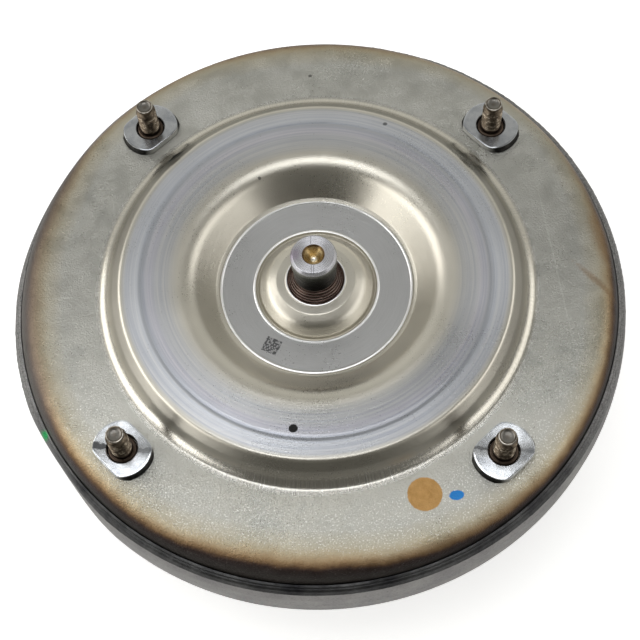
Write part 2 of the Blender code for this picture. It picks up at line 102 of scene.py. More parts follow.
def rounded(points, step=1.2):
    """Profile through (radius, height, corner radius), with arcs at its corners.

    Straight stretches are cut into parts of at most step.
    """
    arc_step = math.radians(5.0)
    spots = [Vector(p[:2]) for p in points]
    last = len(points) - 1
    turns, reaches = [0.0] * len(points), [0.0] * len(points)
    for i in range(1, last):
        a, b = spots[i - 1] - spots[i], spots[i + 1] - spots[i]
        turns[i] = a.angle(b)
        reaches[i] = points[i][2] / math.tan(turns[i] / 2.0)
    for i in range(last):                            # neighbouring arcs share a short side
        room = (spots[i + 1] - spots[i]).length * 0.98 / max(1e-9, reaches[i] + reaches[i + 1])
        if room < 1.0:
            reaches[i], reaches[i + 1] = reaches[i] * room, reaches[i + 1] * room
    line = []
    for i, here in enumerate(spots):
        if reaches[i] <= 0.0:
            line.append(here)
            continue
        a, b = (spots[i - 1] - here).normalized(), (spots[i + 1] - here).normalized()
        size = reaches[i] * math.tan(turns[i] / 2.0)
        centre = here + (a + b).normalized() * (size / math.sin(turns[i] / 2.0))
        start, end = here + a * reaches[i] - centre, here + b * reaches[i] - centre
        first = math.atan2(start.y, start.x)
        sweep = (math.atan2(end.y, end.x) - first + math.pi) % TAU - math.pi
        steps = max(3, int(abs(sweep) / arc_step))
        for k in range(steps + 1):
            w = first + sweep * k / steps
            line.append(centre + Vector((math.cos(w), math.sin(w))) * size)
    dense = [line[0]]
    for p in line[1:]:
        gap = (p - dense[-1]).length
        if gap < 1e-4:
            continue
        parts = max(1, int(math.ceil(gap / step)))
        here = dense[-1].copy()
        for k in range(1, parts + 1):
            dense.append(here.lerp(p, k / parts))
    return [(p.x, p.y) for p in dense]


def skin(rows, closed=False):
    """Faces between neighbouring rows of vertex numbers, where a row of one is a pole."""
    faces = []
    pairs = list(zip(rows[:-1], rows[1:]))
    if closed:
        pairs.append((rows[-1], rows[0]))
    for low, high in pairs:
        count = max(len(low), len(high))
        for i in range(count if count > 1 else 0):
            j = (i + 1) % count
            if len(low) == 1:
                faces.append((low[0], high[j], high[i]))
            elif len(high) == 1:
                faces.append((low[i], low[j], high[0]))
            else:
                faces.append((low[i], low[j], high[j], high[i]))
    return faces


def lathe(profile, count=ROUND, closed=True, shape=None):
    """Vertices and faces of a profile (mm) turned about the axis.

    shape(radius, height, angle) may move a point; it returns a radius and a height.
    """
    verts, rows = [], []
    for r, z in profile:
        first = len(verts)
        if r < 1e-6:
            verts.append((0.0, 0.0, RING + z * MM))
        else:
            for angle in (TAU * i / count for i in range(count)):
                rr, zz = shape(r, z, angle) if shape else (r, z)
                verts.append((rr * MM * math.cos(angle), rr * MM * math.sin(angle), RING + zz * MM))
        rows.append(list(range(first, len(verts))))
    return verts, skin(rows, closed)


def wobble(angle, seed, waves):
    """Smooth repeatable variation round the axis, between about -1 and 1."""
    return noise.noise(Vector((math.cos(angle) * waves, math.sin(angle) * waves, seed)))


def bump_at(value, centre, half):
    """Smooth hump, 1 at the centre and 0 beyond half."""
    share = abs(value - centre) / half
    return 0.0 if share >= 1.0 else (1.0 - share * share) ** 2


def angle_between(a, b):
    """How far two angles lie apart, the short way round."""
    return abs((a - b + math.pi) % TAU - math.pi)


# ---------------------------------------------------------------- node helpers
class Shader:
    """A Principled material's node tree, with the arithmetic that procedural tones need.

    Radii and heights come in millimetres, places in metres, and noise scales are per metre.
    A tuple is a colour, and any other value is a number or another node's output.
    """

    def __init__(self, name, colour, roughness, metallic=1.0):
        self.mat = bpy.data.materials.new(name)
        self.mat.use_nodes = True
        self.tree = self.mat.node_tree
        self.bsdf = self.tree.nodes["Principled BSDF"]
        self.put("Base Color", colour)
        self.put("Roughness", roughness)
        self.put("Metallic", metallic)
        self.mat.diffuse_color = (*colour, 1.0)
        self.place = self.tree.nodes.new("ShaderNodeTexCoord").outputs["Object"]
        split = self.tree.nodes.new("ShaderNodeSeparateXYZ")
        self.tree.links.new(self.place, split.inputs[0])
        self.x, self.y, self.z = split.outputs

    def feed(self, socket, value):
        if isinstance(value, bpy.types.NodeSocket):
            self.tree.links.new(value, socket)
        elif isinstance(value, tuple):
            socket.default_value = (*value, 1.0)
        else:
            socket.default_value = value

    def put(self, name, value):
        """Set one of the Principled node's inputs."""
        self.feed(self.bsdf.inputs[name], value)

    def math(self, operation, a, b=0.0, clamp=False):
        node = self.tree.nodes.new("ShaderNodeMath")
        node.operation = operation
        node.use_clamp = clamp
        self.feed(node.inputs[0], a)
        self.feed(node.inputs[1], b)
        return node.outputs[0]

    def times(self, *values):
        return reduce(lambda a, b: self.math("MULTIPLY", a, b), values)

    def plus(self, *values):
        return reduce(lambda a, b: self.math("ADD", a, b), values)

    def highest(self, *values):
        return reduce(lambda a, b: self.math("MAXIMUM", a, b), values)

    def minus(self, a, b):
        return self.math("SUBTRACT", a, b)

    def apart(self, a, b=0.0):
        """How far two values lie apart."""
        return self.math("ABSOLUTE", self.minus(a, b))

    def span(self, value, low, high, to_low=0.0, to_high=1.0, smooth=True):
        """Run from to_low to to_high as a value goes from low to high."""
        node = self.tree.nodes.new("ShaderNodeMapRange")
        node.interpolation_type = "SMOOTHSTEP" if smooth else "LINEAR"
        for key, item in (("Value", value), ("From Min", low), ("From Max", high),
                          ("To Min", to_low), ("To Max", to_high)):
            self.feed(node.inputs[key], item)
        return node.outputs[0]

    def band(self, value, rise, full, fall, end, smooth=True):
        """1 from full to fall, 0 before rise and after end."""
        return self.times(self.span(value, rise, full, smooth=smooth),
                          self.span(value, fall, end, 1.0, 0.0, smooth))

    def vector(self, x, y, z):
        node = self.tree.nodes.new("ShaderNodeCombineXYZ")
        for socket, value in zip(node.inputs, (x, y, z)):
            self.feed(socket, value)
        return node.outputs[0]

    def noise(self, scale, detail=2.0, rough=0.5, at=None):
        node = self.tree.nodes.new("ShaderNodeTexNoise")
        self.tree.links.new(self.place if at is None else at, node.inputs["Vector"])
        node.inputs["Scale"].default_value = scale
        node.inputs["Detail"].default_value = detail
        node.inputs["Roughness"].default_value = rough
        return node.outputs["Fac"]

    def jitter(self, size, scale, detail=2.0, rough=0.5):
        """Noise about 0, which makes an edge ragged."""
        return self.times(self.minus(self.noise(scale, detail, rough), 0.5), size)

    def ramp(self, value, stops):
        node = self.tree.nodes.new("ShaderNodeValToRGB")
        self.feed(node.inputs[0], value)
        ramp = node.color_ramp
        while len(ramp.elements) < len(stops):
            ramp.elements.new(1.0)
        for element, (at, colour) in zip(ramp.elements, stops):
            element.position = at
            element.color = (*colour, 1.0)
        return node.outputs[0]

    def tones(self, value, dark, light, start=0.3, end=0.7):
        """Colour between two tones, by a noise value."""
        return self.ramp(value, [(start, dark), (end, light)])

    def mix(self, share, a, b, kind="MIX"):
        node = self.tree.nodes.new("ShaderNodeMix")
        node.data_type = "RGBA"
        node.blend_type = kind
        self.feed(node.inputs["Factor"], share)
        for index, value in ((6, a), (7, b)):           # the node's two colour inputs
            self.feed(node.inputs[index], value)
        return node.outputs[2]

    def dimmed(self, tone, factor):
        return self.mix(1.0, tone, self.vector(factor, factor, factor), "MULTIPLY")

    def bump(self, height, distance, strength, after=None):
        node = self.tree.nodes.new("ShaderNodeBump")
        node.inputs["Strength"].default_value = strength
        node.inputs["Distance"].default_value = distance
        self.tree.links.new(height, node.inputs["Height"])
        if after is not None:
            self.tree.links.new(after, node.inputs["Normal"])
        return node.outputs[0]

    def radius(self):
        """Distance from the piece's own Z axis."""
        square = self.plus(self.times(self.x, self.x), self.times(self.y, self.y))
        return self.times(self.math("SQRT", square), 1000.0)

    def angle(self):
        return self.math("ARCTAN2", self.y, self.x)

    def height(self, start=0.0):
        """Height above a start (metres) on the piece's own Z axis."""
        return self.times(self.minus(self.z, start), 1000.0)

    def grooves(self, across, along, height=0.0, detail=4.0, rough=0.65):
        """Noise drawn out round the axis, as turning marks are."""
        place = self.vector(self.times(self.radius(), across), self.times(self.angle(), along),
                            self.times(height, across))
        return self.noise(1.0, detail, rough, place)

    def turned(self, share):
        """Let highlights fan out from the axis, as fine grooves round it make them do."""
        self.put("Anisotropic", share)
        self.put("Anisotropic Rotation", 0.25)
        node = self.tree.nodes.new("ShaderNodeTangent")
        node.direction_type = "RADIAL"
        node.axis = "Z"
        self.put("Tangent", node.outputs[0])

    def local_axes(self, x, y, turn):
        """Distances in the XY plane from (x, y), along axes turned by an angle."""
        c, s = math.cos(turn), math.sin(turn)
        dx, dy = self.minus(self.x, x), self.minus(self.y, y)
        return (self.plus(self.times(dx, c), self.times(dy, s)),
                self.minus(self.times(dy, c), self.times(dx, s)))

    def spot(self, x, y, half_x, half_y, edge=0.15, turn=0.0):
        """1 inside an ellipse in the XY plane, 0 outside, with a soft and ragged edge."""
        u, v = self.local_axes(x, y, turn)
        u, v = self.math("DIVIDE", u, half_x), self.math("DIVIDE", v, half_y)
        away = self.math("SQRT", self.plus(self.times(u, u), self.times(v, v)))
        away = self.plus(away, self.jitter(edge, 900.0))
        return self.span(away, 1.0 - edge * 0.5, 1.0 + edge * 0.5, 1.0, 0.0)


# ---------------------------------------------------------------- the cover's steel
class CoverShader(Shader):
    """The cover's material, with the values that its zones, tint and marks share."""

    def __init__(self):
        super().__init__("cover_steel_fine", (0.5, 0.5, 0.47), 0.34)
        self.r, self.turn = self.radius(), self.angle()
        self.cosine, self.sine = self.math("COSINE", self.turn), self.math("SINE", self.turn)
        self.cloud = self.noise(22.0, 3.0, 0.55)
        self.patch = self.noise(75.0, 4.0, 0.6)
        self.grain = self.noise(1300.0, 2.0, 0.6)
        self.fine_rings = self.ring_noise(6.0, 3.0, 1.0, 3.0)
        self.outer = self.span(self.r, 106.5, 109.0)                       # the flat ring
        self.fillet = self.band(self.r, 102.0, 104.0, 108.0, 110.5)        # foot of the step
        self.plateau = self.band(self.r, 66.0, 74.0, 93.5, 96.5)           # the raised ring
        self.machined = self.band(self.r, 30.7, 30.9, 46.9, 47.1, smooth=False)
        self.heat = self.weld_heat()

    def ring_noise(self, across, along, scale, detail):
        """Noise drawn out round the axis; laid out on sine and cosine it closes without a seam."""
        place = self.vector(self.times(self.r, across), self.times(self.cosine, along),
                            self.times(self.sine, along))
        return self.noise(scale, detail, 0.6, place)

    def weld_heat(self):
        """0 on the flat ring and 1 below the rim weld: it starts nearest the rim on the diagonals."""
        start = self.plus(127.9, self.times(self.cosine, 2.6), self.times(self.sine, 1.6),
                          self.times(self.sine, self.sine, self.cosine, self.cosine, 19.0))
        place = self.vector(self.times(self.cosine, 2.5), self.times(self.sine, 2.5), 0.0)
        waves = self.times(self.minus(self.noise(1.0, 3.0, at=place), 0.5), 8.0)
        start = self.plus(start, waves, self.jitter(4.0, 130.0, 4.0, 0.65))
        depth = self.highest(self.times(self.height(RING), -1.0), 0.0)
        return self.math("DIVIDE", self.minus(self.plus(self.r, depth), start), 35.0, clamp=True)


def flat_ring_tone(s):
    """Plain sheet, with painted shade that makes it darker at the sides and towards the back."""
    tone = s.ramp(s.mix(0.5, s.cloud, s.patch), [
        (0.3, (0.43, 0.43, 0.40)), (0.5, (0.50, 0.495, 0.46)), (0.7, (0.55, 0.545, 0.515))])
    # painted shade: darker at the sides and towards the back, slightly lighter at the front
    return s.dimmed(tone, s.times(s.span(s.apart(s.cosine), 0.72, 1.0, 1.0, 0.78),
                                  s.span(s.sine, -0.65, 0.35, 1.04, 0.87)))


def plateau_tone(s):
    """The raised ring: bluish bands round the axis, with painted shade that makes it darker at the lower
    right and at the back.
    """
    tone = s.ramp(s.math("DIVIDE", s.minus(s.r, 64.0), 32.0), [
        (0.0, (0.55, 0.54, 0.51)), (0.20, (0.51, 0.51, 0.505)), (0.44, (0.53, 0.535, 0.55)),
        (0.53, (0.55, 0.545, 0.59)), (0.60, (0.52, 0.525, 0.57)), (0.655, (0.42, 0.435, 0.47)),
        (0.69, (0.46, 0.475, 0.51)), (0.73, (0.59, 0.61, 0.655)), (0.90, (0.60, 0.61, 0.635)),
        (0.97, (0.56, 0.545, 0.50))])
    # painted shade: darker at the lower right and at the back
    lean = s.minus(s.times(s.cosine, 0.45), s.times(s.sine, 0.89))
    tone = s.dimmed(tone, s.times(s.span(lean, 0.50, 1.0, 1.05, 0.68),
                                  s.span(s.sine, -0.4, 0.4, 1.0, 0.95)))
    rings = s.tones(s.ring_noise(1.0, 0.9, 0.9, 4.0), (0.80, 0.82, 0.87), (1.15, 1.13, 1.10))
    return s.mix(1.0, tone, rings, "MULTIPLY")


def zone_tones(s):
    """The cover's base colour, from its warm bowl and flanks out to the flat ring."""
    tone = s.mix(s.outer, s.tones(s.cloud, (0.53, 0.505, 0.445), (0.62, 0.59, 0.52)),
                 flat_ring_tone(s))
    tone = s.mix(s.plateau, tone, plateau_tone(s))
    tone = s.mix(s.machined, tone, s.tones(s.fine_rings, (0.42, 0.42, 0.425), (0.49, 0.49, 0.49)))
    for at, half in ((30.75, 0.75), (47.25, 0.80), (14.3, 0.65)):        # painted highlight lines along the cut edges
        tone = s.mix(s.span(s.apart(s.r, at), half * 0.5, half, 1.0, 0.0), tone,
                     (0.93, 0.93, 0.93))
    drawn = s.band(s.r, 96.2, 97.4, 100.5, 103.5)                        # painted shade on the plateau's flank
    return s.mix(s.times(drawn, 0.28), tone, (0.03, 0.03, 0.03))


def draw_marks_and_fillet_highlights(s, tone):
    """Dark radial streaks that drawing left on the fillet, painted highlight streaked along them and
    painted lighter over the fillet's front, and dark pin specks on the plateau.
    """
    draw = s.noise(1.0, 3.0, 0.7, s.vector(s.times(s.turn, 150.0), 0.0, 0.0))
    front = s.span(s.sine, -0.80, -0.95)
    # painted highlight, streaked along the draw marks and strongest at the front of the fillet
    light = s.times(s.fillet, s.span(draw, 0.5, 0.7), s.span(front, 0.0, 1.0, 0.20, 0.75))
    tone = s.mix(light, tone, (0.88, 0.88, 0.88))
    dark = s.times(s.fillet, s.span(draw, 0.48, 0.36), s.span(front, 0.0, 1.0, 0.30, 0.65))
    tone = s.mix(dark, tone, (0.24, 0.24, 0.235))
    speck = s.times(s.span(s.noise(900.0, 2.0, 0.7), 0.66, 0.74), s.plateau)
    tone = s.mix(s.times(speck, s.span(s.patch, 0.45, 0.65, 0.0, 0.6)), tone, (0.20, 0.20, 0.19))
    # painted highlight: the fillet lighter towards the front
    fillet_front_highlight = s.times(s.fillet, s.span(s.sine, -0.35, -0.85, 0.0, 0.15))
    return s.mix(fillet_front_highlight, tone, (0.88, 0.88, 0.87))


def heat_tint_and_rim_shade(s, tone):
    """Straw to brown to grey towards the weld, greyer at the left, with painted shade darkening the rim's
    front, and brown streaks elsewhere.
    """
    tint = s.ramp(s.heat, [
        (0.0, (1.0, 1.0, 1.0)), (0.12, (0.99, 0.955, 0.885)), (0.22, (0.97, 0.91, 0.79)),
        (0.32, (0.89, 0.76, 0.57)), (0.40, (0.72, 0.54, 0.35)), (0.465, (0.47, 0.31, 0.18)),
        (0.52, (0.26, 0.16, 0.10)), (0.585, (0.15, 0.11, 0.11)), (0.66, (0.17, 0.16, 0.17)),
        (0.78, (0.27, 0.27, 0.27)), (0.89, (0.16, 0.16, 0.16)), (1.0, (0.18, 0.18, 0.18))])
    left = s.times(s.span(s.cosine, -0.78, -0.95, 0.0, 0.60), s.span(s.heat, 0.20, 0.45))
    tone = s.mix(1.0, tone, s.mix(left, tint, (0.42, 0.37, 0.36)), "MULTIPLY")
    # painted shade: the rim's corner darkened towards the front
    rim_front_shade = s.times(s.span(s.heat, 0.488, 0.60), s.span(s.sine, -0.50, -0.92, 0.0, 0.72))
    tone = s.mix(rim_front_shade, tone, (0.022, 0.015, 0.013))
    brown = s.highest(s.spot(0.1372, 0.0000, 0.0115, 0.0015, 1.3, -0.80),
                      s.spot(0.1405, 0.0270, 0.0040, 0.0120, 1.6, 0.2))
    return s.mix(s.times(brown, 0.55), tone, (0.20, 0.12, 0.06))


def wear_and_painted_glints(s, tone):
    """Pale scratches, painted glints among the front's grain, and darker grain on the flat ring."""
    pale = s.highest(s.spot(0.1172, 0.0115, 0.0475, 0.00035, 0.9, 1.72),
                     s.spot(-0.1240, -0.0090, 0.0100, 0.00030, 0.9, 0.05))
    tone = s.mix(s.times(pale, 0.13), tone, (0.80, 0.80, 0.78))
    # painted highlight: glints sprinkled over the front of the flat ring
    glint = s.times(s.span(s.noise(1350.0, 1.0), 0.585, 0.675), s.span(s.sine, -0.2, -0.7),
                    s.span(s.r, 112.0, 120.0), s.span(s.heat, 0.40, 0.15, 0.0, 0.65))
    tone = s.mix(glint, tone, (0.95, 0.95, 0.93))
    return s.mix(s.times(s.span(s.grain, 0.58, 0.75, 0.0, 0.30), s.outer), tone,
                 (0.22, 0.21, 0.19))


def dark_wedge(s, where, half, strength):
    """1 on a thin ragged wedge along the foot of the cover's step, centred on an angle."""
    away = s.apart(s.turn, where)
    centre = s.plus(102.4, s.times(away, -16.0))
    across = s.apart(s.plus(s.minus(s.r, centre), s.jitter(2.4, 300.0, 3.0)))
    width = s.span(away, 0.0, half, 3.0, 0.0, smooth=False)
    return s.times(s.span(s.minus(across, width), -1.0, 0.2, strength, 0.0),
                   s.span(away, half * 0.85, half, 1.0, 0.0))


def marked_patch(s, x, y, half, turn):
    """A small square of random light and dark cells: it stands for a marking and holds no code."""
    u, v = s.local_axes(x, y, turn)
    inside = s.times(s.math("LESS_THAN", s.apart(u), half), s.math("LESS_THAN", s.apart(v), half))
    cell = 2.0 * half / 11.0
    column, row = (s.math("FLOOR", s.math("DIVIDE", side, cell)) for side in (u, v))
    blotch = s.noise(1.7, 0.0, at=s.vector(column, row, 0.5))
    return s.times(inside, s.span(blotch, 0.47, 0.53, 0.25, 0.95))


def add_marks(s, tone, dot, blue):
    """Dark wedges by the upper studs, a paint dot, a dab of blue, a punch dot, specks and a patch."""
    # darker wedges along the foot of the step beside the upper studs
    tone = s.mix(dark_wedge(s, STUD_ANGLES[1] + 0.02, 0.10, 0.95), tone, (0.03, 0.03, 0.03))
    tone = s.mix(dark_wedge(s, STUD_ANGLES[0] - 0.02, 0.05, 0.6), tone, (0.08, 0.075, 0.07))
    tone = s.mix(dot, tone, s.tones(s.noise(420.0, 3.0), (0.44, 0.235, 0.06), (0.55, 0.31, 0.10)))
    tone = s.mix(blue, tone, (0.005, 0.22, 0.66))
    punch = s.spot(-0.0083, -0.0806, 0.0021, 0.0021, 0.12)
    specks = s.highest(s.spot(-0.0058, 0.1225, 0.0009, 0.0009, 0.5),
                       s.spot(0.0340, 0.0850, 0.0012, 0.0009, 0.5),
                       s.spot(-0.0294, 0.0542, 0.0008, 0.0008, 0.5))
    tone = s.mix(s.highest(punch, s.times(specks, 0.7)), tone, (0.02, 0.02, 0.02))
    return s.mix(marked_patch(s, -0.0210, -0.0328, 0.0040, -0.42), tone, (0.10, 0.10, 0.105))


def cover_material():
    """Pressed and partly turned sheet steel, tinted by the heat of the rim weld."""
    s = CoverShader()
    dot = s.spot(0.0520, -0.1083, 0.0080, 0.0080, 0.08)
    blue = s.spot(0.0665, -0.1087, 0.0034, 0.0023, 0.22, 0.15)
    tone = draw_marks_and_fillet_highlights(s, zone_tones(s))
    tone = wear_and_painted_glints(s, heat_tint_and_rim_shade(s, tone))
    s.put("Base Color", add_marks(s, tone, dot, blue))
    s.put("Metallic", s.minus(1.0, s.times(s.highest(dot, blue), 0.85)))
    rough = s.plus(s.span(s.cloud, 0.2, 0.8, 0.27, 0.35), s.times(s.minus(s.grain, 0.5), 0.16))
    rough = s.minus(rough, s.times(s.fillet, 0.09))
    s.put("Roughness", s.plus(rough, s.times(s.span(s.heat, 0.44, 0.76), 0.10)))
    # sheet grain, strongest at the front of the flat ring, under fine turning marks inside it
    sandy = s.times(s.outer, s.span(s.patch, 0.35, 0.65, 0.6, 1.3),
                    s.span(s.sine, -0.55, -0.92, 1.0, 2.1))
    sheet = s.bump(s.times(s.noise(1150.0, 3.0, 0.7), s.plus(sandy, 0.18)), 0.00050, 0.6)
    s.put("Normal", s.bump(s.times(s.fine_rings, s.minus(1.0, s.outer)), 0.00010, 0.4, sheet))
    return s.mat


# ---------------------------------------------------------------- other materials
def turned_steel(name, colour, roughness, ring_scale=4.0):
    """Lathe-turned steel, with fine grooves round its own axis."""
    s = Shader(name, colour, roughness)
    rings = s.grooves(ring_scale, 0.8, s.height())
    s.put("Base Color", s.tones(rings, tuple(c * 0.82 for c in colour), colour))
    s.put("Roughness", s.span(rings, 0.2, 0.8, roughness * 0.8, roughness * 1.25))
    s.put("Normal", s.bump(rings, 0.00010, 0.5))
    s.turned(0.6)
    return s.mat


def nose_material():
    """Turned pilot: bright face with a painted dark violet sector, a side painted dark as shade and
    lighter near its top, rusty grooves at the foot with painted highlights on their edges, and a gold
    centre hole with painted shade round its wall and a painted highlight in its middle.
    """
    s = Shader("nose_steel_fine", (0.66, 0.65, 0.70), 0.27)
    radius, height = s.radius(), s.height(RING)
    rings = s.grooves(5.0, 0.8, height)
    face = s.tones(rings, (0.56, 0.56, 0.61), (0.70, 0.70, 0.74))
    # painted shade: a dark violet sector at the face's left, where the turned face's reflection is dark
    violet_sector_shade = s.times(s.span(s.x, -0.0045, -0.0085), s.span(s.apart(s.y), 0.001, 0.005, 0.6, 0.0))
    face = s.mix(violet_sector_shade, face, (0.38, 0.30, 0.42))
    # painted shade and light: the side near black low down and lighter towards the top, standing in for
    # its reflections
    side = s.ramp(s.math("DIVIDE", height, 30.0), [
        (0.35, (0.002, 0.002, 0.002)), (0.70, (0.006, 0.006, 0.005)),
        (0.80, (0.045, 0.05, 0.042)), (0.88, (0.22, 0.23, 0.22))])
    foot = s.ramp(s.grooves(9.0, 1.2, detail=3.0, rough=0.7), [
        (0.40, (0.006, 0.005, 0.005)), (0.52, (0.05, 0.028, 0.022)), (0.66, (0.30, 0.20, 0.17))])
    # painted highlight on the edges of the foot's turned grooves
    crest = s.math("FRACT", s.math("DIVIDE", s.minus(FOOT_TOP + 0.55, height), FOOT_PITCH))
    foot = s.mix(s.span(crest, 0.26, 0.34, 0.75, 0.0), foot, (0.50, 0.42, 0.38))
    tone = s.mix(s.span(height, 26.6, 27.2), side, face)
    tone = s.mix(s.span(height, 9.8, 10.8, 1.0, 0.0), tone, foot)
    gold = s.tones(s.noise(700.0, 3.0), (0.42, 0.30, 0.13), (0.66, 0.52, 0.29))
    # painted shade round the centre hole's wall
    gold = s.mix(s.span(radius, 4.2, 5.1), gold, (0.16, 0.10, 0.045))
    tone = s.mix(s.span(radius, 5.35, 5.5, 1.0, 0.0, smooth=False), tone, gold)
    # painted highlight in the middle of the centre hole
    tone = s.mix(s.span(radius, 1.2, 2.1, 1.0, 0.0), tone, (0.92, 0.88, 0.78))
    for x, side_y in ((-0.0014, 1.0), (-0.0008, -1.0), (0.0004, -1.0)):   # scored across the face
        line = s.times(s.span(s.apart(s.x, x), 0.00008, 0.0002, 0.8, 0.0),
                       s.span(s.times(s.y, side_y), 0.0054, 0.0058), s.span(height, 28.2, 28.6))
        tone = s.mix(line, tone, (0.08, 0.08, 0.10))
    s.put("Base Color", tone)
    s.put("Roughness", s.span(rings, 0.2, 0.8, 0.23, 0.32))
    s.put("Normal", s.bump(rings, 0.00005, 0.4))
    s.turned(0.9)
    return s.mat


def zinc_material(name, painted_light_gain, shade_sectors=()):
    """Plated weld pads: turned faces brightened or dimmed per pad as painted light and shade, over sides
    painted near black at the round ends as shadow under their overhang.

    A shade sector is a painted dark wedge on the face, where the turned face's reflection is dark: its
    angle, half its width in radians, and a share.
    """
    s = Shader(name, (0.52, 0.54, 0.57), 0.24)
    cloud = s.noise(170.0, 3.0, 0.55)
    rings = s.grooves(3.0, 1.4)
    tone = s.ramp(cloud, [
        (0.3, (0.46, 0.48, 0.52)), (0.55, (0.61, 0.63, 0.66)), (0.75, (0.70, 0.715, 0.74))])
    tone = s.mix(s.span(rings, 0.55, 0.75, 0.0, 0.25), tone, (0.24, 0.26, 0.30))
    # painted light and shade: the whole face lighter or darker per pad
    tone = s.dimmed(tone, painted_light_gain)
    # painted shade: dark reflection sectors on the turned face
    for where, half, share in shade_sectors:
        away = s.plus(s.apart(s.angle(), where), s.jitter(0.5, 520.0, 4.0, 0.7))
        tone = s.mix(s.span(away, half * 0.7, half * 1.15, share, 0.0), tone, (0.03, 0.03, 0.035))
    side = s.span(s.height(), PAD_TOP - 0.45, PAD_TOP - 0.25, 1.0, 0.0)
    # painted shadow: the side near black at the round ends, under their overhang; the flats stay bare
    # grey
    scale = s.tones(s.noise(600.0, 3.0), (0.010, 0.010, 0.010), (0.05, 0.048, 0.045))
    bare = s.tones(cloud, (0.36, 0.36, 0.35), (0.52, 0.52, 0.50))
    flats = s.span(s.apart(s.x), 0.0085, 0.0111)
    s.put("Base Color", s.mix(side, tone, s.mix(flats, scale, bare)))
    s.put("Roughness", s.plus(s.span(cloud, 0.2, 0.8, 0.15, 0.22), s.times(side, 0.25)))
    s.put("Normal", s.bump(rings, 0.00003, 0.4, s.bump(cloud, 0.0003, 0.15)))
    s.turned(0.92)
    return s.mat


def phosphate_material():
    """Phosphated studs, rubbed brighter on the thread crests and round the tip, with painted shade
    darkening them near their foot.
    """
    s = Shader("stud_phosphate_fine", (0.12, 0.10, 0.08), 0.40)
    cloud = s.noise(420.0, 4.0, 0.6)
    radius, height = s.radius(), s.height()
    tone = s.ramp(cloud, [
        (0.3, (0.045, 0.036, 0.028)), (0.5, (0.12, 0.095, 0.07)), (0.72, (0.22, 0.18, 0.135))])
    crest = s.times(s.span(radius, 4.75, 4.98), s.span(cloud, 0.50, 0.60),
                    s.span(height, 5.0, 6.5))
    tone = s.mix(s.times(crest, 0.75), tone, (0.70, 0.62, 0.50))
    dish = s.times(s.span(height, STUD_TOP - 0.95, STUD_TOP - 0.80),
                   s.span(radius, 3.1, 3.4, 1.0, 0.0))
    tone = s.mix(dish, tone, (0.18, 0.17, 0.155))
    rim = s.times(s.span(height, STUD_TOP - 0.3, STUD_TOP - 0.15), s.span(radius, 3.55, 3.8))
    tone = s.mix(rim, tone, s.tones(cloud, (0.14, 0.125, 0.105), (0.58, 0.55, 0.50), 0.35, 0.6))
    # painted shade: darker near the stud's foot
    tone = s.mix(s.times(s.span(height, 6.2, 4.2), 0.8), tone, (0.06, 0.042, 0.033))
    s.put("Base Color", tone)
    s.put("Roughness", s.span(cloud, 0.2, 0.8, 0.26, 0.42))
    s.put("Normal", s.bump(s.noise(1800.0, 3.0), 0.00010, 0.6))
    return s.mat


def dark_steel(name, low, high, roughness, scale=60.0, grain=900.0, metallic=1.0, depth=0.0002,
               paint=None):
    """Blotchy material with a fine grain.

    With paint, the place of a dab of green, it is also painted lighter away from the front, so the front
    stays dark as painted shade.
    """
    s = Shader(name, high, roughness, metallic)
    fine = s.noise(grain, 3.0, 0.6)
    tone = s.tones(s.noise(scale, 4.0, 0.6), low, high)
    tone = s.mix(s.span(fine, 0.55, 0.75, 0.0, 0.35), tone, tuple(c * 0.5 for c in low))
    if paint:
        # painted light and shade: lighter away from the front, dark at the front
        light = s.tones(fine, (0.13, 0.128, 0.128), (0.34, 0.335, 0.33), 0.35, 0.65)
        tone = s.mix(s.span(s.y, -0.115, -0.045, 0.0, 0.85), tone, light)
        tone = s.mix(s.spot(*paint, 0.0024, 0.0017, 1.2, -1.0), tone, (0.02, 0.34, 0.10))
    s.put("Base Color", tone)
    s.put("Roughness", s.span(fine, 0.2, 0.8, roughness * 0.8, min(1.0, roughness * 1.2)))
    s.put("Normal", s.bump(fine, depth, 0.6))
    return s.mat


STUD_ANGLES = [math.atan2(box_centre("stud_%d" % k).y, box_centre("stud_%d" % k).x)
               for k in (1, 2, 3, 4)]
COVER = cover_material()
NOSE = nose_material()
# lit and shaded copies of one pad material: pads 1 and 2 dimmed, pads 3 and 4 brightened as painted light
ZINC_SHADED = zinc_material("pad_zinc_fine", 0.86)
ZINC_LIT_LEFT = zinc_material("pad_zinc_left_fine", 1.32, ((-0.87, 0.16, 0.80), (2.27, 0.11, 0.45)))
ZINC_LIT_RIGHT = zinc_material("pad_zinc_right_fine", 1.26, ((-2.44, 0.08, 0.60), (0.79, 0.11, 0.35)))
ZINC = {1: ZINC_SHADED, 2: ZINC_SHADED, 3: ZINC_LIT_LEFT, 4: ZINC_LIT_RIGHT}
PHOSPHATE = phosphate_material()
SHELL = dark_steel("shell_steel_fine", (0.23, 0.22, 0.225), (0.34, 0.33, 0.32), 0.42)
WELD = dark_steel("weld_steel_fine", (0.022, 0.022, 0.025), (0.10, 0.10, 0.10), 0.36, 70.0, 1200.0,
                  0.9, 0.0004, paint=(-0.1295, -0.0775))
HUB = turned_steel("hub_steel_fine", (0.58, 0.58, 0.60), 0.27)
PRESSED = dark_steel("pressed_steel_fine", (0.40, 0.40, 0.41), (0.50, 0.50, 0.50), 0.36)
SPRING = dark_steel("spring_steel_fine", (0.10, 0.10, 0.11), (0.20, 0.20, 0.21), 0.34, 300.0)
FRICTION = dark_steel("friction_paper_fine", (0.10, 0.07, 0.045), (0.20, 0.14, 0.09), 0.9, 500.0,
                      2500.0, 0.0)
SEAL = dark_steel("seal_plastic_fine", (0.06, 0.055, 0.05), (0.12, 0.11, 0.10), 0.55, 500.0, 2000.0, 0.0)
ALLOY = dark_steel("stator_alloy_fine", (0.58, 0.59, 0.61), (0.70, 0.71, 0.73), 0.42, 150.0, 1500.0)
BEARING = turned_steel("bearing_steel_fine", (0.62, 0.62, 0.64), 0.18, 5.0)

